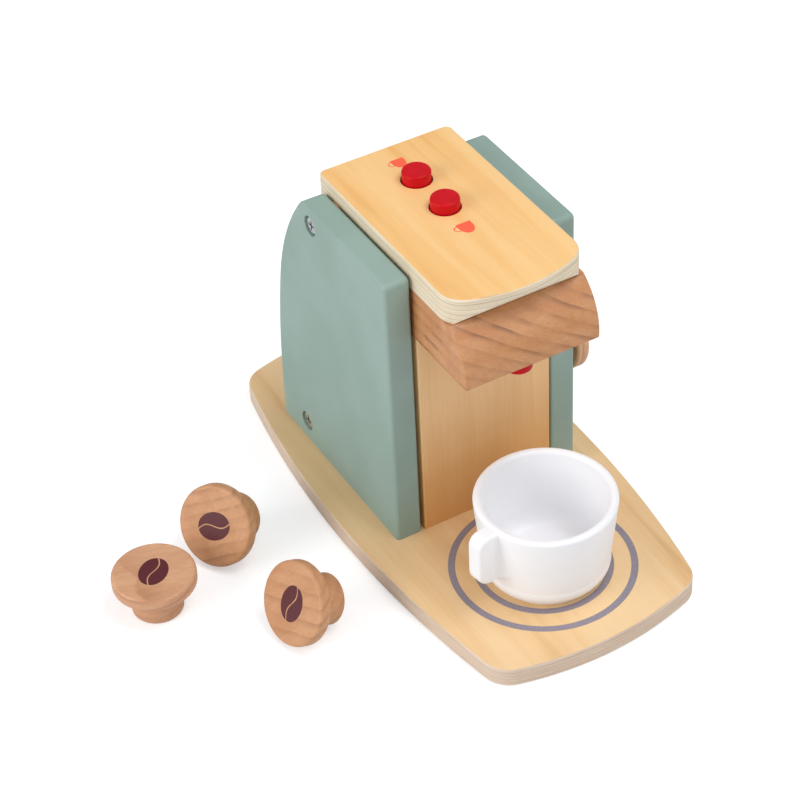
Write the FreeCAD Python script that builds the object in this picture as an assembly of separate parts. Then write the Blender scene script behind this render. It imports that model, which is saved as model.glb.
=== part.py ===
import FreeCAD, Part
import math
import os

from FreeCAD import Vector

# Toy coffee maker of plywood and beech, with a cup and four coffee capsules.
# Millimetres. X runs to the right of the machine, the front faces -Y, Z is up.
# The origin is the centre of the base board's underside.

# Base board, a plywood barrel shape with all four sides bowed out
BASE_LENGTH = 237.0
BASE_WIDTH = 121.4
BASE_THICK = 9.0
BASE_SIDE_BOW_R = 536.0
BASE_END_BOW_R = 148.0
BASE_FRONT_BOW_X = -3.0
BASE_CORNER_R = 13.0
BASE_EDGE_R = 0.7

# Side panels, painted board with a rear edge that leans in towards the top
PANEL_THICK = 12.0
PANEL_INNER_X = 32.75
PANEL_OUTER_X = PANEL_INNER_X + PANEL_THICK
PANEL_FRONT_Y = -22.5
PANEL_REAR_Y = 79.6
PANEL_TOP_Z = BASE_THICK + 136.0
PANEL_REAR_STRAIGHT = 14.0
PANEL_LOWER_ARC_R = 343.0
PANEL_LOWER_ARC_DEG = 11.6
PANEL_UPPER_ARC_R = 120.0
PANEL_TOP_REAR_R = 4.0
PANEL_TOP_FRONT_R = 2.4
PANEL_EDGE_R = 1.6

# Socket in the right panel that a capsule's stem pushes into
SOCKET_Y = -1.2
SOCKET_Z = 69.2
SOCKET_R = 11.5
SOCKET_DEPTH = 9.8
SOCKET_SLACK = 0.2

# Front panel between the side panels
FRONT_HALF_WIDTH = 31.6
FRONT_SHIFT_X = 0.6
FRONT_THICK = 12.0
FRONT_EDGE_R = 0.7

# Head block of beech, with a rounded nose
HEAD_HALF_WIDTH = 31.4
HEAD_BOTTOM_Z = BASE_THICK + 104.0
HEAD_TOP_Z = HEAD_BOTTOM_Z + 25.0
HEAD_NOSE_Y = -61.2
HEAD_NOSE_R = 27.0
HEAD_NOSE_START_Z = HEAD_BOTTOM_Z + 3.0
HEAD_REAR_Y = 49.0
HEAD_EDGE_R = 0.9

# Top plate of plywood, with a bowed front and a chamfer under its front edge
PLATE_HALF_WIDTH = 31.5
PLATE_TOP_Z = HEAD_TOP_Z + 12.0
PLATE_FRONT_Y = -57.6
PLATE_FRONT_BOW_R = 64.0
PLATE_FRONT_CORNER_R = 12.0
PLATE_REAR_Y = 55.0
PLATE_REAR_CORNER_R = 3.0
PLATE_CHAMFER_Y = -49.2
PLATE_EDGE_R = 0.9

# Push buttons on the plate's centre line, each on a spring in the head block
BUTTON_YS = {"rear": 27.6, "front": 4.8}
BUTTON_R = 6.2
BUTTON_HEIGHT = 5.1
BUTTON_TOP_R = 1.3
BUTTON_HOLE_R = 6.8
BUTTON_COLLAR_R = 7.7
BUTTON_COLLAR_THICK = 3.2
BUTTON_STOP_GAP = 0.1
BUTTON_SPIGOT_R = 2.3
BUTTON_SPIGOT_LENGTH = 6.0
POCKET_R = 8.3
POCKET_DEPTH = 18.0
SPRING_MEAN_R = 3.6
SPRING_WIRE_R = 0.4
SPRING_TURNS = 6
SPRING_END_GAP = 0.05

# Spout under the head
SPOUT_Y = -49.4
SPOUT_R = 6.0
SPOUT_BELOW = 9.0
SPOUT_SEAT = 10.0
SPOUT_TIP_R = 1.2

# Cross plugs that carry the head between the side panels, and the rail behind
PLUG_Y = 38.7
PLUG_Z = HEAD_TOP_Z - 0.5
PLUG_R = 6.0
PLUG_INNER_X = 13.0
RAIL_Y = 57.0
RAIL_SIZE = 20.0
RAIL_EDGE_R = 1.0

# Screws through the side panels
PANEL_SCREW_SPOTS = [(PLUG_Y, PLUG_Z), (RAIL_Y, BASE_THICK + 10.2)]
SCREW_SINK_R = 4.6
SCREW_SINK_DEPTH = 2.8
SCREW_HEAD_R = 4.1
SCREW_HEAD_HEIGHT = 2.1
SCREW_HEAD_CROWN = 0.8
SCREW_SHANK_R = 1.75
SCREW_LENGTH = 28.0
CROSS_WIDTH = 0.9
CROSS_SPAN = 4.4
CROSS_DEPTH = 1.2

# Countersunk screws up through the base board: x, y
BASE_SCREW_SPOTS = [
    (-38.75, -10.0), (-38.75, 62.0), (38.75, -10.0), (38.75, 62.0),
    (-18.0, -16.5), (18.0, -16.5), (0.0, RAIL_Y),
]
BASE_SCREW_HEAD_R = 3.8
BASE_SCREW_CONE = 2.6
BASE_SCREW_SUNK = 0.4
BASE_SCREW_TOP_Z = 27.0

# Dowels that stand in the front panel's top edge and enter the head block
HEAD_DOWEL_X = 18.0
HEAD_DOWEL_Y = PANEL_FRONT_Y + FRONT_THICK / 2
HEAD_DOWEL_R = 3.0
HEAD_DOWEL_HALF = 12.0

# Capsules, turned in beech as a disc on a stem
CAPSULE_HEAD_R = 18.0
CAPSULE_HEAD_THICK = 6.2
CAPSULE_HEIGHT = 20.0
CAPSULE_STEM_R = 11.0
CAPSULE_EDGE_R = 1.5
CAPSULE_FOOT_R = 0.8
CAPSULE_COVE_R = 2.0
CAPSULE_STANDING = (-145.3, 6.2)
# Lying capsules: centre of the disc's face on the plan, and the way it faces
CAPSULE_LYING = {"b": (-110.8, 18.8, -151.5), "c": (-104.8, -40.1, -170.4)}

# Cup, with a solid tab for a handle
CUP_CENTRE = (0.2, -69.2)
CUP_HEIGHT = 40.6
CUP_RIM_R = 30.2
CUP_RIM_INNER_R = 26.4
CUP_WALL_LOW_R = 27.2
CUP_SHOULDER_Z = 9.4
CUP_SHOULDER_BULGE = 1.3
CUP_FOOT_R = 23.2
CUP_FOOT_HEIGHT = 1.3
CUP_FOOT_STEP = 0.5
CUP_FLOOR = 4.2
CUP_INNER_LOW_R = 23.6
CUP_INNER_CORNER_R = 7.0
CUP_RIM_EDGE_R = 1.7
HANDLE_TURN = 190.0
HANDLE_REACH = 39.7
HANDLE_HALF_WIDTH = 3.7
HANDLE_FLARE_R = 5.0
HANDLE_WALL_R = 28.1
HANDLE_ROOT_DEPTH = 3.0
HANDLE_TOP_Z = 40.2
HANDLE_SHOULDER_R = 5.0
HANDLE_BOTTOM_Z = 14.6
HANDLE_TOE_R = 7.0
HANDLE_EDGE_R = 1.5

# How near an edge lies to a length or height to be taken as meeting it
NEAR = 0.1
EXACT = 1e-4
# A quarter round's middle stands this share of its radius in from the corner
QUARTER_INSET = 1 - math.sqrt(0.5)


def box(x0, x1, y0, y1, z0, z1):
    return Part.makeBox(x1 - x0, y1 - y0, z1 - z0, Vector(x0, y0, z0))


def rod(radius, start, axis, length):
    return Part.makeCylinder(radius, length, Vector(*start), Vector(*axis))


def line(a, b):
    return Part.LineSegment(Vector(*a), Vector(*b)).toShape()


def arc(a, mid, b):
    return Part.Arc(Vector(*a), Vector(*mid), Vector(*b)).toShape()


def plate_from(edges, direction):
    return Part.Face(Part.Wire(edges)).extrude(Vector(*direction))


def round_edges(shape, radius, wanted):
    chosen = [edge for edge in shape.Edges if wanted(edge)]
    return shape.makeFillet(radius, chosen)


def level_at(edge, z):
    box_z = edge.BoundBox
    return abs(box_z.ZMin - z) < EXACT and abs(box_z.ZMax - z) < EXACT


def save(shape, node):
    solids = shape.Solids
    if not solids or not shape.isValid():
        raise ValueError(node + " is not a valid solid")
    out = solids[0] if len(solids) == 1 else Part.makeCompound(solids)
    out.exportStep("parts/" + node + ".step")
    print(node, len(solids), "solid(s)", round(sum(s.Volume for s in solids), 1), "mm3")


# Base board: two bowed sides and two bowed ends, all struck from far centres

def base_outline_solid():
    half_w = BASE_WIDTH / 2
    half_l = BASE_LENGTH / 2
    side_centre = BASE_SIDE_BOW_R - half_w
    end_centre = BASE_END_BOW_R - half_l
    solid = box(-half_w, half_w, -half_l, half_l, 0, BASE_THICK)
    centres = [(BASE_SIDE_BOW_R, side_centre, 0), (BASE_SIDE_BOW_R, -side_centre, 0),
               (BASE_END_BOW_R, BASE_FRONT_BOW_X, end_centre), (BASE_END_BOW_R, 0, -end_centre)]
    for radius, x, y in centres:
        solid = solid.common(rod(radius, (x, y, 0), (0, 0, 1), BASE_THICK))
    return solid.removeSplitter()


def base_screw_room():
    room = []
    for x, y in BASE_SCREW_SPOTS:
        room.append(rod(BASE_SCREW_HEAD_R, (x, y, 0), (0, 0, 1), BASE_SCREW_SUNK))
        room.append(Part.makeCone(BASE_SCREW_HEAD_R, SCREW_SHANK_R, BASE_SCREW_CONE,
                                  Vector(x, y, BASE_SCREW_SUNK)))
        room.append(rod(SCREW_SHANK_R, (x, y, 0), (0, 0, 1), BASE_SCREW_TOP_Z))
    return room


def base_board():
    solid = base_outline_solid()
    solid = round_edges(solid, BASE_CORNER_R, lambda e: e.BoundBox.ZLength > BASE_THICK - NEAR)
    solid = round_edges(solid, BASE_EDGE_R, lambda e: level_at(e, BASE_THICK) or level_at(e, 0))
    return solid.cut(base_screw_room())


# Side panels: a straight foot, two tangent arcs up the rear, a level top

def panel_outline(x):
    turn = math.radians(PANEL_LOWER_ARC_DEG)
    half_turn = turn / 2
    arc_z = BASE_THICK + PANEL_REAR_STRAIGHT
    low_centre_y = PANEL_REAR_Y - PANEL_LOWER_ARC_R
    low_mid = (x, low_centre_y + PANEL_LOWER_ARC_R * math.cos(half_turn),
               arc_z + PANEL_LOWER_ARC_R * math.sin(half_turn))
    low_end = (x, low_centre_y + PANEL_LOWER_ARC_R * math.cos(turn),
               arc_z + PANEL_LOWER_ARC_R * math.sin(turn))
    up_centre_y = low_end[1] - PANEL_UPPER_ARC_R * math.cos(turn)
    up_centre_z = low_end[2] - PANEL_UPPER_ARC_R * math.sin(turn)
    top_turn = math.asin((PANEL_TOP_Z - up_centre_z) / PANEL_UPPER_ARC_R)
    mid_turn = (turn + top_turn) / 2
    up_mid = (x, up_centre_y + PANEL_UPPER_ARC_R * math.cos(mid_turn),
              up_centre_z + PANEL_UPPER_ARC_R * math.sin(mid_turn))
    up_end = (x, up_centre_y + PANEL_UPPER_ARC_R * math.cos(top_turn), PANEL_TOP_Z)
    foot_front = (x, PANEL_FRONT_Y, BASE_THICK)
    foot_rear = (x, PANEL_REAR_Y, BASE_THICK)
    heel = (x, PANEL_REAR_Y, arc_z)
    top_front = (x, PANEL_FRONT_Y, PANEL_TOP_Z)
    return [line(foot_front, foot_rear), line(foot_rear, heel), arc(heel, low_mid, low_end),
            arc(low_end, up_mid, up_end), line(up_end, top_front), line(top_front, foot_front)]


def panel_blank(side):
    x = PANEL_INNER_X if side > 0 else -PANEL_OUTER_X
    solid = plate_from(panel_outline(x), (PANEL_THICK, 0, 0))

    def top_rear(edge):
        across = edge.BoundBox.XLength > PANEL_THICK - NEAR
        return across and edge.BoundBox.ZMin > PANEL_TOP_Z - NEAR and edge.BoundBox.YMin > 0

    def top_front(edge):
        across = edge.BoundBox.XLength > PANEL_THICK - NEAR
        return across and edge.BoundBox.ZMin > PANEL_TOP_Z - NEAR and edge.BoundBox.YMin < 0

    solid = round_edges(solid, PANEL_TOP_REAR_R, top_rear)
    solid = round_edges(solid, PANEL_TOP_FRONT_R, top_front)

    def around_faces(edge):
        flat_x = edge.BoundBox.XLength < EXACT
        return flat_x and edge.BoundBox.ZMax > BASE_THICK + NEAR

    return round_edges(solid, PANEL_EDGE_R, around_faces)


def panel_screw_room(side):
    outer = side * PANEL_OUTER_X
    room = []
    for y, z in PANEL_SCREW_SPOTS:
        room.append(rod(SCREW_SINK_R, (outer, y, z), (-side, 0, 0), SCREW_SINK_DEPTH))
        room.append(rod(SCREW_SHANK_R, (outer, y, z), (-side, 0, 0), SCREW_SINK_DEPTH + SCREW_LENGTH))
    return room


def side_panel(side):
    return panel_blank(side).cut(panel_screw_room(side) + base_screw_room())


def side_panel_right():
    socket = rod(SOCKET_R, (PANEL_OUTER_X, SOCKET_Y, SOCKET_Z), (-1, 0, 0), SOCKET_DEPTH)
    return side_panel(1).cut(socket)


# Front panel: a plain board, doweled to the head and screwed from below

def head_dowels():
    dowels = []
    for sign in (-1, 1):
        start = (sign * HEAD_DOWEL_X, HEAD_DOWEL_Y, HEAD_BOTTOM_Z - HEAD_DOWEL_HALF)
        dowels.append(rod(HEAD_DOWEL_R, start, (0, 0, 1), 2 * HEAD_DOWEL_HALF))
    return dowels


def front_panel():
    solid = box(FRONT_SHIFT_X - FRONT_HALF_WIDTH, FRONT_SHIFT_X + FRONT_HALF_WIDTH,
                PANEL_FRONT_Y, PANEL_FRONT_Y + FRONT_THICK, BASE_THICK, HEAD_BOTTOM_Z)
    solid = round_edges(solid, FRONT_EDGE_R, lambda e: e.BoundBox.ZLength > 1)
    return solid.cut(head_dowels() + base_screw_room())


# Head block: rounded nose in front, pockets for the buttons' springs above

def head_outline(x):
    centre_y = HEAD_NOSE_Y + HEAD_NOSE_R
    centre_z = HEAD_NOSE_START_Z
    end_turn = math.asin((HEAD_TOP_Z - centre_z) / HEAD_NOSE_R)
    half_turn = end_turn / 2
    nose_low = (x, HEAD_NOSE_Y, centre_z)
    nose_mid = (x, centre_y - HEAD_NOSE_R * math.cos(half_turn),
                centre_z + HEAD_NOSE_R * math.sin(half_turn))
    nose_top = (x, centre_y - HEAD_NOSE_R * math.cos(end_turn), HEAD_TOP_Z)
    bottom_front = (x, HEAD_NOSE_Y, HEAD_BOTTOM_Z)
    bottom_rear = (x, HEAD_REAR_Y, HEAD_BOTTOM_Z)
    top_rear = (x, HEAD_REAR_Y, HEAD_TOP_Z)
    return [line(bottom_front, nose_low), arc(nose_low, nose_mid, nose_top),
            line(nose_top, top_rear), line(top_rear, bottom_rear), line(bottom_rear, bottom_front)]


def head_plugs():
    length = PANEL_INNER_X - PLUG_INNER_X
    plugs = []
    for side in (-1, 1):
        plugs.append(rod(PLUG_R, (side * PLUG_INNER_X, PLUG_Y, PLUG_Z), (side, 0, 0), length))
    return plugs


def spout():
    solid = rod(SPOUT_R, (0, SPOUT_Y, HEAD_BOTTOM_Z - SPOUT_BELOW), (0, 0, 1), SPOUT_BELOW + SPOUT_SEAT)
    return round_edges(solid, SPOUT_TIP_R, lambda e: level_at(e, HEAD_BOTTOM_Z - SPOUT_BELOW))


def head_block():
    solid = plate_from(head_outline(-HEAD_HALF_WIDTH), (2 * HEAD_HALF_WIDTH, 0, 0))

    def worked_edges(edge):
        round_end = edge.BoundBox.XLength < EXACT and edge.BoundBox.YMax < PANEL_FRONT_Y
        lower_lip = level_at(edge, HEAD_BOTTOM_Z) and edge.BoundBox.YMax < HEAD_NOSE_Y + 1
        low_side = level_at(edge, HEAD_BOTTOM_Z) and edge.BoundBox.XLength < EXACT
        return round_end or lower_lip or low_side

    solid = round_edges(solid, HEAD_EDGE_R, worked_edges)
    cutters = head_dowels() + head_plugs() + [spout()]
    for y in BUTTON_YS.values():
        cutters.append(rod(POCKET_R, (0, y, HEAD_TOP_Z - POCKET_DEPTH), (0, 0, 1), POCKET_DEPTH))
    return solid.cut(cutters)


# Top plate: bowed front struck from one centre, corners tangent to it

def plate_outline(z):
    bow_y = PLATE_FRONT_Y + PLATE_FRONT_BOW_R
    corner_x = PLATE_HALF_WIDTH - PLATE_FRONT_CORNER_R
    reach = PLATE_FRONT_BOW_R - PLATE_FRONT_CORNER_R
    corner_y = bow_y - math.sqrt(reach ** 2 - corner_x ** 2)
    touch = PLATE_FRONT_BOW_R / reach
    touch_x = corner_x * touch
    touch_y = bow_y + (corner_y - bow_y) * touch
    start = math.pi
    end = math.atan2(touch_y - corner_y, -(touch_x - corner_x)) % (2 * math.pi)
    mid = (start + end) / 2
    mid_x = -corner_x + PLATE_FRONT_CORNER_R * math.cos(mid)
    mid_y = corner_y + PLATE_FRONT_CORNER_R * math.sin(mid)
    left = (-PLATE_HALF_WIDTH, corner_y, z)
    right = (PLATE_HALF_WIDTH, corner_y, z)
    left_touch = (-touch_x, touch_y, z)
    right_touch = (touch_x, touch_y, z)
    rear_left = (-PLATE_HALF_WIDTH, PLATE_REAR_Y, z)
    rear_right = (PLATE_HALF_WIDTH, PLATE_REAR_Y, z)
    return [arc(left, (mid_x, mid_y, z), left_touch),
            arc(left_touch, (0, PLATE_FRONT_Y, z), right_touch),
            arc(right_touch, (-mid_x, mid_y, z), right),
            line(right, rear_right), line(rear_right, rear_left), line(rear_left, left)]


def top_plate():
    thick = PLATE_TOP_Z - HEAD_TOP_Z
    solid = plate_from(plate_outline(HEAD_TOP_Z), (0, 0, thick))

    def rear_corner(edge):
        return edge.BoundBox.ZLength > thick - NEAR and edge.BoundBox.YMin > PLATE_REAR_Y - NEAR

    solid = round_edges(solid, PLATE_REAR_CORNER_R, rear_corner)
    solid = round_edges(solid, PLATE_EDGE_R, lambda e: level_at(e, PLATE_TOP_Z))
    depth = PLATE_CHAMFER_Y - PLATE_FRONT_Y
    x = -PLATE_HALF_WIDTH
    root = (x, PLATE_CHAMFER_Y, HEAD_TOP_Z)
    ahead = (x, PLATE_CHAMFER_Y - 2 * depth, HEAD_TOP_Z)
    above = (x, PLATE_CHAMFER_Y - 2 * depth, HEAD_TOP_Z + 2 * depth)
    wedge = plate_from([line(root, ahead), line(ahead, above), line(above, root)],
                       (2 * PLATE_HALF_WIDTH, 0, 0))
    cutters = [wedge] + head_plugs()
    for y in BUTTON_YS.values():
        cutters.append(rod(BUTTON_HOLE_R, (0, y, HEAD_TOP_Z), (0, 0, 1), thick))
    return solid.cut(cutters)


# Buttons: a red cap on a wider collar that the plate keeps in, and a spigot for the spring

def button(y):
    collar_top = HEAD_TOP_Z - BUTTON_STOP_GAP
    collar_low = collar_top - BUTTON_COLLAR_THICK
    cap = rod(BUTTON_R, (0, y, collar_top), (0, 0, 1), PLATE_TOP_Z + BUTTON_HEIGHT - collar_top)
    cap = round_edges(cap, BUTTON_TOP_R, lambda e: level_at(e, PLATE_TOP_Z + BUTTON_HEIGHT))
    collar = rod(BUTTON_COLLAR_R, (0, y, collar_low), (0, 0, 1), BUTTON_COLLAR_THICK)
    spigot_low = collar_low - BUTTON_SPIGOT_LENGTH
    spigot = rod(BUTTON_SPIGOT_R, (0, y, spigot_low), (0, 0, 1), BUTTON_SPIGOT_LENGTH)
    return cap.fuse([collar, spigot]).removeSplitter()


def arc_by_tangents(a, b, apex):
    half = (a + b) * 0.5
    cos_half = (a - half).Length / (a - apex).Length
    mid = half + (apex - half) * (cos_half / (1 + cos_half))
    return Part.Arc(a, mid, b).toShape()


def button_spring(y):
    floor_z = HEAD_TOP_Z - POCKET_DEPTH
    collar_low = HEAD_TOP_Z - BUTTON_STOP_GAP - BUTTON_COLLAR_THICK
    low = floor_z + SPRING_WIRE_R + SPRING_END_GAP
    rise = (collar_low - SPRING_WIRE_R - SPRING_END_GAP - low) / (SPRING_TURNS * 2 * math.pi)

    def point(t):
        return Vector(SPRING_MEAN_R * math.cos(t), y + SPRING_MEAN_R * math.sin(t), low + rise * t)

    def heading(t):
        way = Vector(-SPRING_MEAN_R * math.sin(t), SPRING_MEAN_R * math.cos(t), rise)
        return way.normalize()

    edges = []
    quarter = math.pi / 2
    for step in range(4 * SPRING_TURNS):
        a, b = point(step * quarter), point((step + 1) * quarter)
        ta, tb = heading(step * quarter), heading((step + 1) * quarter)
        chord = b - a
        along = chord.dot(ta + tb)
        spread = 2 * (1 - ta.dot(tb))
        reach = (math.sqrt(along ** 2 + spread * chord.dot(chord)) - along) / spread
        apex_a, apex_b = a + ta * reach, b - tb * reach
        join = (apex_a + apex_b) * 0.5
        edges.append(arc_by_tangents(a, join, apex_a))
        edges.append(arc_by_tangents(join, b, apex_b))
    path = Part.Wire(edges)
    section = Part.Wire([Part.Circle(point(0), heading(0), SPRING_WIRE_R).toShape()])
    tube = path.makePipeShell([section], True, False)
    samples = [point(step * math.pi / 24) for step in range(48 * SPRING_TURNS + 1)]
    half_turn = 24
    gap = min((a - b).Length for i, a in enumerate(samples) for b in samples[i + half_turn:])
    print("spring's least gap", round(gap - 2 * SPRING_WIRE_R, 2), "mm")
    return tube


# Rear rail between the side panels, on the base board

def rear_rail():
    half = RAIL_SIZE / 2
    solid = box(-PANEL_INNER_X, PANEL_INNER_X, RAIL_Y - half, RAIL_Y + half,
                BASE_THICK, BASE_THICK + RAIL_SIZE)

    def long_top_edge(edge):
        return level_at(edge, BASE_THICK + RAIL_SIZE) and edge.BoundBox.XLength > RAIL_SIZE

    solid = round_edges(solid, RAIL_EDGE_R, long_top_edge)
    return solid.cut(panel_screw_room(-1) + panel_screw_room(1) + base_screw_room())


def drilled_plugs():
    room = panel_screw_room(-1) + panel_screw_room(1)
    return Part.makeCompound([plug.cut(room) for plug in head_plugs()])


# Screws: crowned heads with a cross recess in the panels, flat heads under the base

def panel_screw(side, y, z):
    seat = side * (PANEL_OUTER_X - SCREW_SINK_DEPTH)
    head = rod(SCREW_HEAD_R, (seat, y, z), (side, 0, 0), SCREW_HEAD_HEIGHT)
    outer_x = seat + side * SCREW_HEAD_HEIGHT
    head = round_edges(head, SCREW_HEAD_CROWN, lambda e: abs(e.BoundBox.XMin - outer_x) < EXACT
                       and e.BoundBox.XLength < EXACT)
    shank = rod(SCREW_SHANK_R, (seat, y, z), (-side, 0, 0), SCREW_LENGTH)
    low_x, high_x = sorted((outer_x, outer_x - side * CROSS_DEPTH))
    half, thin = CROSS_SPAN / 2, CROSS_WIDTH / 2
    slots = [box(low_x, high_x, y - half, y + half, z - thin, z + thin),
             box(low_x, high_x, y - thin, y + thin, z - half, z + half)]
    return head.fuse(shank).removeSplitter().cut(slots)


def panel_screws():
    screws = []
    for side in (-1, 1):
        for y, z in PANEL_SCREW_SPOTS:
            screws.append(panel_screw(side, y, z))
    return Part.makeCompound(screws)


def base_screw(x, y):
    head = Part.makeCone(BASE_SCREW_HEAD_R, SCREW_SHANK_R, BASE_SCREW_CONE, Vector(x, y, BASE_SCREW_SUNK))
    shank = rod(SCREW_SHANK_R, (x, y, BASE_SCREW_SUNK), (0, 0, 1), BASE_SCREW_TOP_Z - BASE_SCREW_SUNK)
    half, thin = CROSS_SPAN / 2, CROSS_WIDTH / 2
    top = BASE_SCREW_SUNK + CROSS_DEPTH
    slots = [box(x - half, x + half, y - thin, y + thin, BASE_SCREW_SUNK, top),
             box(x - thin, x + thin, y - half, y + half, BASE_SCREW_SUNK, top)]
    return head.fuse(shank).removeSplitter().cut(slots)


def base_screws():
    return Part.makeCompound([base_screw(x, y) for x, y in BASE_SCREW_SPOTS])


# Capsules: made standing on the stem with the disc's face up at the top

def capsule():
    stem = rod(CAPSULE_STEM_R, (0, 0, -CAPSULE_HEIGHT), (0, 0, 1), CAPSULE_HEIGHT - CAPSULE_HEAD_THICK)
    stem = round_edges(stem, CAPSULE_FOOT_R, lambda e: level_at(e, -CAPSULE_HEIGHT))
    head = rod(CAPSULE_HEAD_R, (0, 0, -CAPSULE_HEAD_THICK), (0, 0, 1), CAPSULE_HEAD_THICK)
    head = round_edges(head, CAPSULE_EDGE_R, lambda e: level_at(e, 0) or level_at(e, -CAPSULE_HEAD_THICK))
    solid = head.fuse(stem).removeSplitter()

    def under_disc(edge):
        return level_at(edge, -CAPSULE_HEAD_THICK) and edge.BoundBox.XLength < CAPSULE_STEM_R * 2 + NEAR

    return round_edges(solid, CAPSULE_COVE_R, under_disc)


def standing_capsule():
    solid = capsule()
    solid.translate(Vector(CAPSULE_STANDING[0], CAPSULE_STANDING[1], CAPSULE_HEIGHT))
    return solid


def seated_capsule():
    # The stem bottoms in the socket, so the disc stands off the panel
    solid = capsule()
    solid.rotate(Vector(0, 0, 0), Vector(0, 1, 0), 90)
    face_x = PANEL_OUTER_X - SOCKET_DEPTH + CAPSULE_HEIGHT
    solid.translate(Vector(face_x, SOCKET_Y, SOCKET_Z - SOCKET_SLACK))
    return solid


def lying_capsule(letter):
    x, y, facing = CAPSULE_LYING[letter]
    # It rests on the disc's back rim and the foot of the stem
    run = (CAPSULE_HEIGHT - CAPSULE_FOOT_R) - (CAPSULE_HEAD_THICK - CAPSULE_EDGE_R)
    drop = (CAPSULE_HEAD_R - CAPSULE_EDGE_R) - (CAPSULE_STEM_R - CAPSULE_FOOT_R)
    rounding = (CAPSULE_EDGE_R - CAPSULE_FOOT_R) / math.hypot(run, drop)
    tilt = math.degrees(math.atan2(drop, run) + math.asin(rounding))
    solid = capsule()
    solid.rotate(Vector(0, 0, 0), Vector(0, 1, 0), 90 - tilt)
    solid.rotate(Vector(0, 0, 0), Vector(0, 0, 1), facing)
    low = solid.optimalBoundingBox().ZMin
    solid.translate(Vector(x, y, -low))
    return solid


# Cup: turned outside and inside, with the tab handle blended into the wall

def cup_outer():
    lean = (CUP_RIM_R - CUP_WALL_LOW_R) / (CUP_HEIGHT - CUP_SHOULDER_Z)
    wall_low = Vector(CUP_WALL_LOW_R, 0, CUP_SHOULDER_Z)
    foot_r = CUP_FOOT_R - CUP_FOOT_STEP
    foot_top = Vector(foot_r, 0, CUP_FOOT_HEIGHT)
    shoulder_low = Vector(CUP_FOOT_R + CUP_FOOT_STEP, 0, CUP_FOOT_HEIGHT + CUP_FOOT_STEP / 2)
    chord = wall_low - shoulder_low
    outward = Vector(chord.z, 0, -chord.x).normalize()
    bulge = (wall_low + shoulder_low) * 0.5 + outward * CUP_SHOULDER_BULGE
    edge = CUP_RIM_EDGE_R
    rim_out = Vector(CUP_RIM_R - lean * edge, 0, CUP_HEIGHT - edge)
    rim_mid = Vector(CUP_RIM_R - edge * QUARTER_INSET, 0, CUP_HEIGHT - edge * QUARTER_INSET)
    rim_top = Vector(CUP_RIM_R - edge, 0, CUP_HEIGHT)
    edges = [
        Part.LineSegment(Vector(0, 0, 0), Vector(foot_r, 0, 0)).toShape(),
        Part.LineSegment(Vector(foot_r, 0, 0), foot_top).toShape(),
        Part.LineSegment(foot_top, shoulder_low).toShape(),
        Part.Arc(shoulder_low, bulge, wall_low).toShape(),
        Part.LineSegment(wall_low, rim_out).toShape(),
        Part.Arc(rim_out, rim_mid, rim_top).toShape(),
        Part.LineSegment(rim_top, Vector(0, 0, CUP_HEIGHT)).toShape(),
        Part.LineSegment(Vector(0, 0, CUP_HEIGHT), Vector(0, 0, 0)).toShape(),
    ]
    return Part.Face(Part.Wire(edges)).revolve(Vector(0, 0, 0), Vector(0, 0, 1), 360)


def cup_inside():
    corner = CUP_INNER_CORNER_R
    low = Vector(CUP_INNER_LOW_R - corner, 0, CUP_FLOOR)
    inset = corner * QUARTER_INSET
    bend = Vector(CUP_INNER_LOW_R - inset, 0, CUP_FLOOR + inset)
    wall = Vector(CUP_INNER_LOW_R, 0, CUP_FLOOR + corner)
    edge = CUP_RIM_EDGE_R
    under_rim = Vector(CUP_RIM_INNER_R, 0, CUP_HEIGHT - edge)
    rim_mid = Vector(CUP_RIM_INNER_R + edge * QUARTER_INSET, 0, CUP_HEIGHT - edge * QUARTER_INSET)
    rim_top = Vector(CUP_RIM_INNER_R + edge, 0, CUP_HEIGHT)
    above = 5.0
    edges = [
        Part.LineSegment(Vector(0, 0, CUP_FLOOR), low).toShape(),
        Part.Arc(low, bend, wall).toShape(),
        Part.LineSegment(wall, under_rim).toShape(),
        Part.Arc(under_rim, rim_mid, rim_top).toShape(),
        Part.LineSegment(rim_top, rim_top + Vector(0, 0, above)).toShape(),
        Part.LineSegment(rim_top + Vector(0, 0, above), Vector(0, 0, CUP_HEIGHT + above)).toShape(),
        Part.LineSegment(Vector(0, 0, CUP_HEIGHT + above), Vector(0, 0, CUP_FLOOR)).toShape(),
    ]
    return Part.Face(Part.Wire(edges)).revolve(Vector(0, 0, 0), Vector(0, 0, 1), 360)


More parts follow.
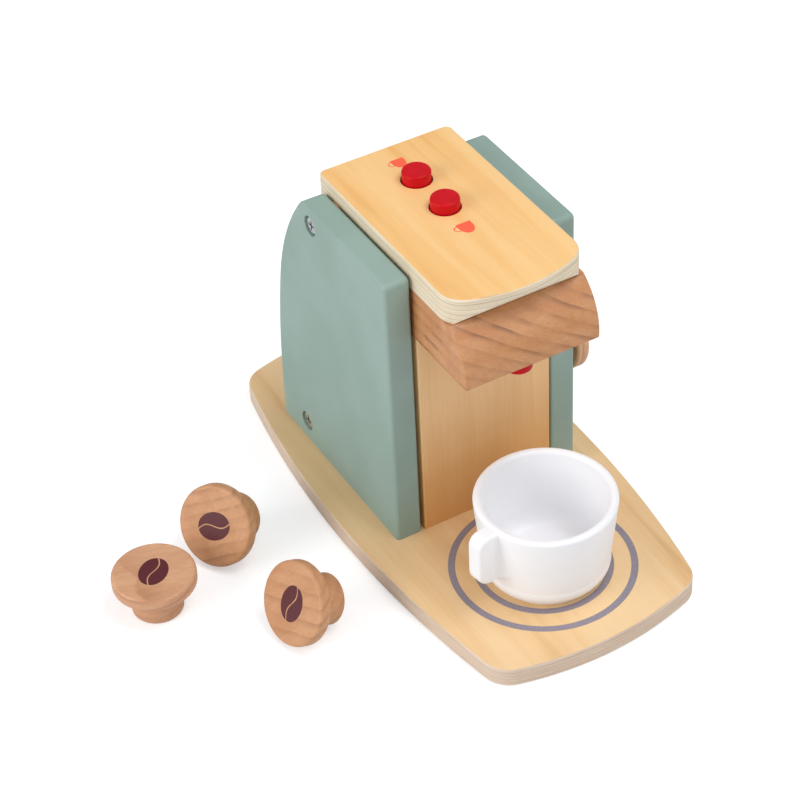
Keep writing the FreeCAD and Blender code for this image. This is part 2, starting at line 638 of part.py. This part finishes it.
def cup_handle():
    half = HANDLE_HALF_WIDTH
    flare = HANDLE_FLARE_R
    tip = HANDLE_REACH
    z = HANDLE_BOTTOM_Z
    root_x = CUP_WALL_LOW_R - HANDLE_ROOT_DEPTH
    # Each flare touches the cup's wall circle and the tab's flat side
    flare_y = half + flare
    neck_x = math.sqrt((HANDLE_WALL_R + flare) ** 2 - flare_y ** 2)
    share = HANDLE_WALL_R / (HANDLE_WALL_R + flare)
    wall_x, wall_y = neck_x * share, flare_y * share
    turn = (math.atan2(wall_y - flare_y, wall_x - neck_x) % (2 * math.pi) + 1.5 * math.pi) / 2
    bend_x = neck_x + flare * math.cos(turn)
    bend_y = flare_y + flare * math.sin(turn)
    edges = [
        line((root_x, -wall_y, z), (wall_x, -wall_y, z)),
        arc((wall_x, -wall_y, z), (bend_x, -bend_y, z), (neck_x, -half, z)),
        line((neck_x, -half, z), (tip, -half, z)),
        line((tip, -half, z), (tip, half, z)),
        line((tip, half, z), (neck_x, half, z)),
        arc((neck_x, half, z), (bend_x, bend_y, z), (wall_x, wall_y, z)),
        line((wall_x, wall_y, z), (root_x, wall_y, z)),
        line((root_x, wall_y, z), (root_x, -wall_y, z)),
    ]
    tab = plate_from(edges, (0, 0, HANDLE_TOP_Z - HANDLE_BOTTOM_Z))

    def toe(edge):
        across = edge.BoundBox.YLength > 2 * half - NEAR and edge.BoundBox.XMin > tip - NEAR
        return across and level_at(edge, HANDLE_BOTTOM_Z)

    def shoulder(edge):
        across = edge.BoundBox.YLength > 2 * half - NEAR and edge.BoundBox.XMin > tip - NEAR
        return across and level_at(edge, HANDLE_TOP_Z)

    tab = round_edges(tab, HANDLE_TOE_R, toe)
    tab = round_edges(tab, HANDLE_SHOULDER_R, shoulder)

    def tip_edges(edge):
        return edge.BoundBox.XMax > neck_x + NEAR

    tab = round_edges(tab, HANDLE_EDGE_R, tip_edges)
    tab.rotate(Vector(0, 0, 0), Vector(0, 0, 1), HANDLE_TURN)
    return tab


def cup():
    solid = cup_outer().fuse(cup_handle()).cut(cup_inside()).removeSplitter()
    solid.translate(Vector(CUP_CENTRE[0], CUP_CENTRE[1], BASE_THICK))
    return solid


os.makedirs("parts", exist_ok=True)
save(base_board(), "base_board")
save(side_panel(-1), "side_panel_left")
save(side_panel_right(), "side_panel_right")
save(front_panel(), "front_panel")
save(head_block(), "head_block")
save(top_plate(), "top_plate")
save(spout(), "spout")
save(rear_rail(), "rear_rail")
save(drilled_plugs(), "head_plugs")
save(Part.makeCompound(head_dowels()), "head_dowels")
save(panel_screws(), "panel_screws")
save(base_screws(), "base_screws")
for place, button_y in BUTTON_YS.items():
    save(button(button_y), "button_" + place)
    save(button_spring(button_y), "button_spring_" + place)
save(seated_capsule(), "capsule_seated")
save(standing_capsule(), "capsule_a")
for letter in CAPSULE_LYING:
    save(lying_capsule(letter), "capsule_" + letter)
save(cup(), "cup")
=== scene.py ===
import math

import bpy
from mathutils import Matrix, Vector


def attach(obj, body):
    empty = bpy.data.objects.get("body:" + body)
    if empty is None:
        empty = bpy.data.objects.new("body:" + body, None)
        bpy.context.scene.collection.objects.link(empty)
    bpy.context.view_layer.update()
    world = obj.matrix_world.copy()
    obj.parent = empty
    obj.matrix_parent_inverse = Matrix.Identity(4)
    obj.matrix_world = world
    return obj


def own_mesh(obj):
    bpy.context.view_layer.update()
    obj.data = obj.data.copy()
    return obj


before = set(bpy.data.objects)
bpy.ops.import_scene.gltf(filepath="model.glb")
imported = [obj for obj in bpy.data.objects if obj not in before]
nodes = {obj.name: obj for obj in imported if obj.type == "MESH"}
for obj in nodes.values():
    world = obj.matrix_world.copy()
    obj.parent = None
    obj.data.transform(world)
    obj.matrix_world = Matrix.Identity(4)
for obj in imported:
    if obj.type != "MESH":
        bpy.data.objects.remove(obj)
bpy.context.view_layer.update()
MM = 0.001


# Base board
# Nine millimetres of birch plywood sawn to a bowed barrel outline, its edge sanded so the
# plies show, clear lacquered, then screen printed with two grey rings where the cup stands.

class Field:
    """One socket of a material's node tree, with arithmetic that adds nodes."""

    def __init__(self, tree, socket):
        self.tree = tree
        self.socket = socket

    def node(self, kind, settings=None, **inputs):
        """A new node of this kind; inputs are given as i0, i1 and so on."""
        made = self.tree.nodes.new(kind)
        for key, value in (settings or {}).items():
            setattr(made, key, value)
        for key, value in inputs.items():
            slot = made.inputs[int(key[1:])]
            if isinstance(value, Field):
                self.tree.links.new(value.socket, slot)
            else:
                slot.default_value = value
        return Field(self.tree, made.outputs[0])

    def maths(self, operation, first, second=0.0):
        return self.node("ShaderNodeMath", settings={"operation": operation}, i0=first, i1=second)

    def __add__(self, other):
        return self.maths("ADD", self, other)

    def __sub__(self, other):
        return self.maths("SUBTRACT", self, other)

    def __rsub__(self, other):
        return self.maths("SUBTRACT", other, self)

    def __mul__(self, other):
        return self.maths("MULTIPLY", self, other)

    def __truediv__(self, other):
        return self.maths("DIVIDE", self, other)

    def between(self, low, high):
        """0 below low, 1 above high, smooth in between."""
        return self.node("ShaderNodeMapRange", settings={"interpolation_type": "SMOOTHSTEP"},
                         i0=self, i1=low, i2=high, i3=0.0, i4=1.0)

    def power(self, exponent):
        return self.maths("POWER", self, exponent)

    def mod(self, step):
        return self.maths("FLOORED_MODULO", self, step)

    def most(self, other):
        return self.maths("MAXIMUM", self, other)

    def split(self):
        parts = self.tree.nodes.new("ShaderNodeSeparateXYZ")
        self.tree.links.new(self.socket, parts.inputs[0])
        return [Field(self.tree, out) for out in parts.outputs]

    def stretched(self, x, y, z):
        """This vector with each part multiplied by its own number."""
        return self.node("ShaderNodeVectorMath", settings={"operation": "MULTIPLY"},
                         i0=self, i1=(x, y, z))

    def moved(self, x, y, z):
        return self.node("ShaderNodeVectorMath", settings={"operation": "ADD"},
                         i0=self, i1=(x, y, z))

    def turned(self, x, y, z):
        """This vector as seen from axes turned by these degrees about X, then Y, then Z."""
        angles = tuple(math.radians(a) for a in (x, y, z))
        return self.node("ShaderNodeVectorRotate", settings={"rotation_type": "EULER_XYZ"},
                         i0=self, i4=angles)

    def noise(self, scale, detail=2.0, rough=0.5, warp=0.0):
        return self.node("ShaderNodeTexNoise", i0=self, i2=scale, i3=detail, i4=rough, i8=warp)

    def mixed(self, low, high):
        """low where this field is 0 and high where it is 1; both are colours."""
        made = self.tree.nodes.new("ShaderNodeMix")
        made.data_type = "RGBA"
        made.clamp_factor = True
        self.tree.links.new(self.socket, made.inputs[0])
        for value, slot in ((low, made.inputs[6]), (high, made.inputs[7])):
            if isinstance(value, Field):
                self.tree.links.new(value.socket, slot)
            else:
                slot.default_value = (*value, 1.0)
        return Field(self.tree, made.outputs[2])


class Paint:
    """A Principled material with its object coordinates in millimetres."""

    def __init__(self, name):
        self.material = bpy.data.materials.new(name)
        self.material.use_nodes = True
        self.tree = self.material.node_tree
        self.shader = self.tree.nodes["Principled BSDF"]
        coords = self.tree.nodes.new("ShaderNodeTexCoord")
        metres = Field(self.tree, coords.outputs["Object"])
        self.place = metres.stretched(1 / MM, 1 / MM, 1 / MM)

    def set(self, **values):
        for key, value in values.items():
            slot = self.shader.inputs[key.replace("_", " ")]
            if isinstance(value, Field):
                self.tree.links.new(value.socket, slot)
            else:
                slot.default_value = value

    def bump(self, height, depth_mm, strength):
        made = self.tree.nodes.new("ShaderNodeBump")
        made.inputs["Strength"].default_value = strength
        made.inputs["Distance"].default_value = depth_mm * MM
        self.tree.links.new(height.socket, made.inputs["Height"])
        self.tree.links.new(made.outputs["Normal"], self.shader.inputs["Normal"])

    def on(self, *objects):
        for obj in objects:
            obj.data.materials.clear()
            obj.data.materials.append(self.material)


def srgb(red, green, blue):
    """A colour read as 0-255 sRGB, as linear parts."""
    parts = []
    for value in (red, green, blue):
        share = value / 255
        parts.append(share / 12.92 if share <= 0.04045 else ((share + 0.055) / 1.055) ** 2.4)
    return tuple(parts)


def veneer_figure(place, seed):
    """Face veneer with its grain along Y: broad flames, fine fibres and their mix."""
    shifted = place.moved(seed, seed * 1.7, 0)
    drift = shifted.stretched(1, 0.3, 1).noise(0.035, 2)
    across = shifted.stretched(1, 0.06, 0.3).noise(0.085, 3, 0.55, 0.6)
    flames = across * 1.4 + drift * 0.5
    fibres = shifted.stretched(1, 0.03, 1).noise(1.3, 3, 0.6)
    return flames, fibres


def plywood(name, top, thick, seed, plies, face_colours, edge_colours):
    """Boards seen from above show face veneer, from the side a stack of plies."""
    face_pale, face_mid, face_deep = face_colours
    edge_pale, edge_mid, glue_brown = edge_colours
    paint = Paint(name)
    height = paint.place.split()[2]
    flames, fibres = veneer_figure(paint.place, seed)
    face = flames.between(0.72, 1.15).mixed(face_mid, face_pale)
    face = (flames.between(0.85, 0.60) * 0.8).mixed(face, face_deep)
    face = (fibres.between(0.35, 0.75) * 0.14).mixed(face, face_deep)
    wander = paint.place.stretched(1, 1, 0).noise(0.05, 2) - 0.5
    depth = ((top - height) + wander * 0.3) / thick * plies
    ply = depth.mod(1.0)
    end_grain = depth.mod(2.0).between(0.97, 1.03)
    streaks = paint.place.stretched(0.05, 0.05, 1.5).noise(1.0, 3, 0.6)
    pores = paint.place.noise(1.5, 3, 0.7)
    long_edge = streaks.between(0.3, 0.7).mixed(edge_mid, edge_pale)
    end_edge = (pores.between(0.35, 0.7) * 0.6 + 0.2).mixed(edge_mid, edge_pale)
    edge = (end_grain * 0.75).mixed(long_edge, end_edge)
    glue = ply.between(0.09, 0.0).most(ply.between(0.93, 1.0))
    first_line = depth.between(1.6, 1.3)
    edge = (glue * (first_line * 0.3 + 0.5)).mixed(edge, glue_brown)
    geometry = paint.tree.nodes.new("ShaderNodeNewGeometry")
    upright = Field(paint.tree, geometry.outputs["True Normal"]).split()[2]
    flat = upright.maths("ABSOLUTE", upright).between(0.80, 0.97)
    paint.set(Base_Color=flat.mixed(edge, face), Roughness=fibres * 0.12 + 0.42 + (1 - flat) * 0.15,
              Specular_IOR_Level=0.35)
    paint.bump(fibres * 0.5 + streaks * (1 - flat), 0.05, 0.5)
    return paint


BASE_THICK = 9.0
base_wood = plywood("base plywood", BASE_THICK, BASE_THICK, 11.0, 5,
                    (srgb(242, 207, 158), srgb(236, 196, 143), srgb(222, 178, 124)),
                    (srgb(232, 212, 190), srgb(212, 186, 162), srgb(160, 124, 98)))
base_wood.on(nodes["base_board"])


def clear_selection():
    bpy.ops.object.select_all(action="DESELECT")


def named(obj, name):
    obj.name = name
    obj.data.name = name
    return obj


def printed_patch(name, outline_loops, z, thickness):
    """Flat ink of closed loops of points: the first loop is the outer edge, others are holes."""
    curve = bpy.data.curves.new(name, "CURVE")
    curve.dimensions = "2D"
    curve.fill_mode = "BOTH"
    curve.extrude = thickness / 2 * MM
    for loop in outline_loops:
        spline = curve.splines.new("POLY")
        spline.points.add(len(loop) - 1)
        spline.use_cyclic_u = True
        for point, (px, py) in zip(spline.points, loop):
            point.co = (px * MM, py * MM, 0, 1)
    obj = bpy.data.objects.new(name, curve)
    bpy.context.collection.objects.link(obj)
    clear_selection()
    obj.location = (0, 0, (z + thickness / 2) * MM)
    bpy.context.view_layer.objects.active = obj
    obj.select_set(True)
    bpy.ops.object.convert(target="MESH")
    bpy.ops.object.transform_apply(location=True, rotation=True, scale=True)
    bpy.ops.object.mode_set(mode="EDIT")
    bpy.ops.mesh.select_all(action="SELECT")
    bpy.ops.mesh.remove_doubles(threshold=1e-6)
    bpy.ops.mesh.normals_make_consistent(inside=False)
    bpy.ops.object.mode_set(mode="OBJECT")
    clear_selection()
    return named(obj, name)


def circle_points(cx, cy, radius, count=144):
    turns = [2 * math.pi * k / count for k in range(count)]
    return [(cx + radius * math.cos(turn), cy + radius * math.sin(turn)) for turn in turns]


INK_LIFT = 0.005
INK_THICK = 0.03
RING_Y = -67.2
ring_ink = Paint("grey ring ink")
speckle = ring_ink.place.noise(0.9, 3, 0.6)
ring_ink.set(Base_Color=speckle.between(0.3, 0.7).mixed(srgb(138, 130, 141), srgb(150, 141, 152)),
             Roughness=speckle * 0.1 + 0.42)
RINGS = (("outer_printed_ring", 40.0, 37.0), ("inner_printed_ring", 29.8, 26.8))
for ring_name, outer_r, inner_r in RINGS:
    loops = [circle_points(0, RING_Y, outer_r), circle_points(0, RING_Y, inner_r)]
    ring = printed_patch(ring_name, loops, BASE_THICK + INK_LIFT, INK_THICK)
    ring_ink.on(ring)
    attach(ring, "machine")


# Side panels
# Two twelve millimetre boards with a level top and a rear edge that leans in, edges rounded
# over, sprayed with satin grey-green paint and screwed to the head plugs and the rear rail.

green = Paint("grey green paint")
mottle = green.place.noise(0.03, 3, 0.5)
orange_peel = green.place.noise(1.1, 2, 0.5)
fine_grain = green.place.stretched(1, 1, 0.08).noise(1.6, 3, 0.6)
green.set(Base_Color=mottle.between(0.3, 0.7).mixed(srgb(142, 166, 155), srgb(150, 173, 163)),
          Roughness=orange_peel * 0.08 + 0.5, Specular_IOR_Level=0.35)
green.bump(orange_peel * 0.7 + fine_grain * 0.5, 0.03, 0.6)
green.on(nodes["side_panel_left"], nodes["side_panel_right"])


# Front panel and rear rail
# The front panel is light veneered plywood with its grain upright, doweled to the head above
# and screwed from below. The rail is a planed beech square that joins the panels at the rear.

front_wood = Paint("front panel veneer")
upright_grain = front_wood.place.moved(31, 7, 3)
front_drift = upright_grain.stretched(1, 1, 0.06).noise(0.09, 3, 0.55, 0.5)
front_fibre = upright_grain.stretched(1, 1, 0.03).noise(1.2, 3, 0.6)
front_face = front_drift.between(0.35, 0.68).mixed(srgb(240, 194, 136), srgb(246, 204, 148))
front_face = (front_fibre.between(0.3, 0.8) * 0.25).mixed(front_face, srgb(218, 168, 110))
front_height = front_wood.place.split()[2]
# Painted shade: from 80 mm down to 12 mm the veneer is mixed more and more towards a deep
# brown-orange, standing in for the shadow of the cup and head at the panel's foot.
front_wood.set(Base_Color=(front_height.between(80, 12) * 0.6).mixed(front_face, srgb(206, 142, 66)),
               Roughness=front_fibre * 0.1 + 0.4)
front_wood.bump(front_fibre, 0.04, 0.5)
front_wood.on(nodes["front_panel"])


def beech(name, turn, seed, spacing, colours, streaking=0.3, roughness=0.36):
    """Solid beech with its grain along the turned X axis and growth rings across it."""
    pale, mid, deep, streak = colours
    paint = Paint(name)
    local = paint.place.turned(*turn).moved(seed, seed * 0.6, seed * 1.3)
    through = local.split()[2]
    tone = local.stretched(0.02, 0.11, 0.11).noise(1.0, 3, 0.5, 0.3)
    warp = local.stretched(0.012, 0.10, 0.05).noise(1.0, 2, 0.5) * 1.6
    ring = ((through + warp) / spacing).mod(1.0)
    late = ring.between(0.35, 0.95) * ring.between(1.0, 0.93)
    strength = local.stretched(0.03, 0.10, 0.10).noise(1.0, 2, 0.5).between(0.42, 0.66)
    fibre = local.stretched(0.05, 1.0, 1.0).noise(1.0, 4, 0.6)
    flecks = local.stretched(0.22, 1.6, 1.6).noise(1.0, 2, 0.5).between(0.60, 0.72)
    colour = tone.between(0.3, 0.7).mixed(mid, pale)
    colour = (late * 0.28).mixed(colour, deep)
    colour = (late.power(2.0) * strength * streaking).mixed(colour, streak)
    colour = (flecks * 0.3).mixed(colour, deep)
    colour = (fibre.between(0.35, 0.75) * 0.3).mixed(colour, deep)
    paint.set(Base_Color=colour, Roughness=fibre * 0.14 + roughness, Specular_IOR_Level=0.45)
    paint.bump(fibre * 0.8 - flecks * 0.5, 0.04, 0.5)
    return paint


rail_wood = beech("rail beech", (0, 0, 0), 5.0, 3.5,
                  (srgb(214, 172, 124), srgb(204, 158, 110), srgb(180, 130, 86), srgb(150, 104, 68)))
rail_wood.on(nodes["rear_rail"], nodes["head_plugs"], nodes["head_dowels"])


# Head block
# One solid block of beech with its front rounded to a nose. Its grain runs across the nose
# at a slant, so that brown streaks come out along the rounded front.

head_wood = beech("head beech", (0, -32, -14), 17.0, 5.2,
                  (srgb(213, 155, 106), srgb(201, 139, 90), srgb(172, 112, 72), srgb(104, 62, 42)),
                  streaking=0.6, roughness=0.24)
head_wood.on(nodes["head_block"])


# Top plate
# Twelve millimetres of plywood glued on the head block, bowed at the front, its lower front
# edge sawn off at a slant. Two button holes go through, each with a small printed cup.

PLATE_TOP = 150.0
PLATE_THICK = 12.0
top_wood = plywood("top plywood", PLATE_TOP, PLATE_THICK, 47.0, 5,
                   (srgb(249, 205, 140), srgb(245, 192, 122), srgb(232, 172, 98)),
                   (srgb(240, 228, 204), srgb(222, 204, 172), srgb(138, 108, 80)))
top_wood.on(nodes["top_plate"])

cup_ink = Paint("orange red ink")
ink_speckle = cup_ink.place.noise(2.2, 3, 0.6)
cup_ink.set(Base_Color=ink_speckle.between(0.3, 0.7).mixed(srgb(250, 92, 62), srgb(255, 108, 72)),
            Roughness=ink_speckle * 0.1 + 0.4)
CUP_SIGN = [(-3.0, 3.1), (-3.0, 0.2), (-2.5, -1.5), (-1.6, -2.8), (-0.5, -3.3),
            (0.5, -3.3), (1.6, -2.8), (2.5, -1.5), (3.0, 0.2), (3.0, 3.1)]
HANDLE_OUT = [(3.0, 2.3), (4.3, 2.0), (4.9, 1.0), (4.7, -0.2), (3.8, -1.0), (2.75, -1.1), (2.9, -0.7),
              (3.7, -0.6), (4.3, 0.0), (4.45, 0.9), (4.0, 1.6), (3.0, 1.85)]
for sign_name, sign_y, sign_size in (("rear_cup_sign", 41.6, 1.0), ("front_cup_sign", -12.0, 1.12)):
    for piece_name, outline in (("bowl", CUP_SIGN), ("handle", HANDLE_OUT)):
        loop = [(-px * sign_size, sign_y + py * sign_size) for px, py in outline]
        sign = printed_patch(sign_name + "_" + piece_name, [loop], PLATE_TOP + INK_LIFT, INK_THICK)
        cup_ink.on(sign)
        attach(sign, "machine")


# Buttons, springs and spout
# The buttons are turned wooden pegs dipped in red gloss lacquer, each on a wire spring in the
# head block. The spout is a plain peg in the same red, glued up into the block.

red = Paint("red lacquer")
red_flow = red.place.noise(0.25, 2, 0.5)
red_dust = red.place.noise(2.4, 3, 0.6)
red.set(Base_Color=red_flow.between(0.3, 0.7).mixed(srgb(198, 2, 16), srgb(206, 4, 26)),
        Roughness=red_dust * 0.12 + 0.42, Specular_IOR_Level=0.2)
red.bump(red_flow * 0.6 + red_dust * 0.3, 0.03, 0.5)
red.on(nodes["button_front"], nodes["button_rear"], nodes["spout"])

wire = Paint("spring wire")
wire_draw = wire.place.stretched(1, 1, 6).noise(2.0, 3, 0.6)
wire.set(Base_Color=wire_draw.mixed(srgb(176, 176, 178), srgb(206, 206, 208)), Metallic=1.0,
         Roughness=wire_draw * 0.2 + 0.2)
wire.on(nodes["button_spring_front"], nodes["button_spring_rear"])
for place, button_y in (("front", 4.8), ("rear", 27.6)):
    spring = nodes["button_spring_" + place]
    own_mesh(spring)


# Screws
# Zinc plated steel with a cross recess: crowned heads sunk in the side panels and flat heads
# sunk under the base board.

zinc = Paint("zinc plate")
zinc_bloom = zinc.place.noise(0.8, 3, 0.6)
zinc_scratch = zinc.place.stretched(1, 3, 3).noise(3.0, 3, 0.6)
zinc.set(Base_Color=zinc_bloom.between(0.3, 0.7).mixed(srgb(190, 192, 194), srgb(226, 228, 230)),
         Metallic=1.0, Roughness=zinc_scratch * 0.25 + 0.18)
zinc.bump(zinc_scratch, 0.02, 0.5)
zinc.on(nodes["panel_screws"], nodes["base_screws"])


# Capsules
# Mushrooms turned from one piece of beech, the disc's face sanded flat. Three lie beside the
# toy, printed with a maroon bean. The fourth, left bare, is pushed into the right panel.

CAPSULE_WOODS = {
    "capsule_a": ((0, 8, 22), 3.0, (218, 168, 130), (208, 154, 116)),
    "capsule_b": ((20, 20, -35), 23.0, (212, 159, 116), (201, 146, 101)),
    "capsule_c": ((10, 25, 40), 41.0, (210, 157, 114), (199, 143, 100)),
    # Painted light: the seated capsule's beech is made paler than the three loose ones, standing in
    # for the brighter light falling on it beside the right panel.
    "capsule_seated": ((0, 90, 20), 61.0, (234, 188, 144), (226, 176, 132)),
}
for capsule_name, (grain_turn, seed, pale, mid) in CAPSULE_WOODS.items():
    turned_wood = beech(capsule_name + " beech", grain_turn, seed, 4.2,
                        (srgb(*pale), srgb(*mid), srgb(180, 122, 84), srgb(140, 90, 60)))
    turned_wood.on(nodes[capsule_name])

bean_ink = Paint("maroon bean ink")
bean_speckle = bean_ink.place.noise(1.8, 3, 0.6)
bean_ink.set(Base_Color=bean_speckle.between(0.3, 0.7).mixed(srgb(78, 16, 24), srgb(94, 26, 32)),
             Roughness=bean_speckle * 0.1 + 0.42)


BEAN_HALF_LENGTH = 8.0
BEAN_HALF_WIDTH = 5.9
CREASE_HALF = 0.3
CREASE_WAVE = 1.3


def bean_half(side, count=26):
    """One half of a bean: its outer oval, then back along the wavy crease in its middle."""
    points = []
    for k in range(count + 1):
        angle = math.pi * k / count
        oval = CREASE_HALF + BEAN_HALF_WIDTH * math.sin(angle)
        points.append((BEAN_HALF_LENGTH * math.cos(angle), side * oval))
    for k in range(1, count):
        share = k / count
        wave = CREASE_WAVE * math.sin(2 * math.pi * share)
        points.append((BEAN_HALF_LENGTH * (2 * share - 1), side * CREASE_HALF + wave))
    return points


def lay_on_face(obj, centre, normal, along):
    """Turns a patch made flat about the origin so that it lies on a disc's face."""
    upward = Vector(normal).normalized()
    ahead = Vector(along)
    ahead = (ahead - upward * ahead.dot(upward)).normalized()
    turn = Matrix((ahead, upward.cross(ahead), upward)).transposed().to_4x4()
    clear_selection()
    obj.matrix_world = Matrix.Translation(Vector(centre) * MM) @ turn
    bpy.context.view_layer.objects.active = obj
    obj.select_set(True)
    bpy.ops.object.transform_apply(location=True, rotation=True, scale=True)
    clear_selection()


def from_angles(azimuth, elevation):
    az, el = math.radians(azimuth), math.radians(elevation)
    return (math.cos(az) * math.cos(el), math.sin(az) * math.cos(el), math.sin(el))


CAPSULE_FACES = {
    "capsule_a": ((-145.3, 6.2, 20.0), (0, 0, 1), (0.663, 0.749, 0.0)),
    "capsule_b": ((-110.8, 18.8, 18.39), from_angles(-151.5, 26.02), (0.589, -0.703, 0.399)),
    "capsule_c": ((-104.8, -40.1, 18.39), from_angles(-170.4, 26.02), (0.414, 0.045, 0.909)),
}
for capsule_name, (centre, normal, along) in CAPSULE_FACES.items():
    for half_name, side in (("near", 1), ("far", -1)):
        half = printed_patch(capsule_name + "_bean_" + half_name, [bean_half(side)],
                             INK_LIFT, INK_THICK)
        lay_on_face(half, centre, normal, along)
        bean_ink.on(half)
        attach(half, capsule_name)


# Cup
# White plastic moulded in one piece, thick at the rim and narrowing to a small foot, with a
# solid tab for a handle whose root flares into the wall. It stands loose on the rings.

white = Paint("white cup")
white_haze = white.place.noise(0.06, 2, 0.5)
white_dust = white.place.noise(1.4, 3, 0.6)
white.set(Base_Color=white_haze.between(0.3, 0.7).mixed(srgb(249, 250, 252), srgb(252, 252, 254)),
          Roughness=white_dust * 0.1 + 0.34)
white.bump(white_dust, 0.02, 0.4)
white.on(nodes["cup"])


# Floor, light and camera
# A white table that keeps the toy's soft shadow, wide soft boxes overhead and on the left, a
# weaker one at the right front, and a long lens above the left front corner.

clear_selection()
bpy.ops.mesh.primitive_plane_add(size=6.0, location=(0, 0, -0.0002))
table_top = named(bpy.context.object, "studio_table")
bpy.ops.object.transform_apply(location=True, rotation=True, scale=True)
clear_selection()
cloth = Paint("studio white")
cloth_tone = cloth.place.noise(0.002, 1, 0.5)
cloth.set(Base_Color=cloth_tone.mixed((0.80, 0.80, 0.80), (0.82, 0.82, 0.82)), Roughness=0.9,
          Specular_IOR_Level=0.0)
cloth_path = Field(cloth.tree, cloth.tree.nodes.new("ShaderNodeLightPath").outputs["Is Camera Ray"])
cloth.set(Emission_Color=cloth_path.mixed((0.0, 0.0, 0.0), (0.42, 0.42, 0.42)), Emission_Strength=1.0)
cloth.on(table_top)

world = bpy.data.worlds.new("studio")
bpy.context.scene.world = world
world.use_nodes = True
sky = Field(world.node_tree, world.node_tree.nodes["Background"].outputs[0])
light_path = world.node_tree.nodes.new("ShaderNodeLightPath")
seen = Field(world.node_tree, light_path.outputs["Is Camera Ray"])
world_shade = seen.mixed((0.45, 0.46, 0.485), (1.0, 1.0, 1.0))
world.node_tree.links.new(world_shade.socket, world.node_tree.nodes["Background"].inputs["Color"])
world.node_tree.nodes["Background"].inputs["Strength"].default_value = 1.0


def soft_box(name, place, target, width, height, watts):
    light = bpy.data.lights.new(name, "AREA")
    light.shape = "RECTANGLE"
    light.size = width
    light.size_y = height
    light.energy = watts
    obj = bpy.data.objects.new(name, light)
    bpy.context.collection.objects.link(obj)
    obj.location = place
    obj.rotation_euler = (Vector(target) - Vector(place)).to_track_quat("-Z", "Y").to_euler()


soft_box("overhead box", (0.30, -0.32, 1.10), (0, 0, 0.08), 0.75, 0.55, 5.6)
soft_box("left box", (-1.15, 0.0, 0.55), (0, 0, 0.06), 0.8, 0.7, 7.6)
soft_box("right front box", (0.50, -1.05, 0.60), (0, 0, 0.06), 0.6, 0.6, 1.5)

VIEW_AZIMUTH = math.radians(-28.0957)
VIEW_ELEVATION = math.radians(40.1745)
VIEW_ROLL = math.radians(-3.0988)
VIEW_TARGET = Vector((-24.0303, 7.3896, 57.0)) * MM
VIEW_DISTANCE = 1048.96 * MM
back = Vector((math.sin(VIEW_AZIMUTH) * math.cos(VIEW_ELEVATION),
               -math.cos(VIEW_AZIMUTH) * math.cos(VIEW_ELEVATION), math.sin(VIEW_ELEVATION)))
level_right = (-back).cross(Vector((0, 0, 1))).normalized()
level_up = level_right.cross(-back)
right = level_right * math.cos(VIEW_ROLL) + level_up * math.sin(VIEW_ROLL)
up = level_up * math.cos(VIEW_ROLL) - level_right * math.sin(VIEW_ROLL)
lens = bpy.data.cameras.new("photo view")
lens.sensor_width = 36.0
lens.lens = 2469.61 / 800 * 36
camera = bpy.data.objects.new("photo view", lens)
bpy.context.collection.objects.link(camera)
camera.matrix_world = Matrix.Translation(VIEW_TARGET + back * VIEW_DISTANCE) @ Matrix(
    (right, up, back)).transposed().to_4x4()
bpy.context.scene.camera = camera
bpy.context.scene.view_settings.view_transform = "Standard"
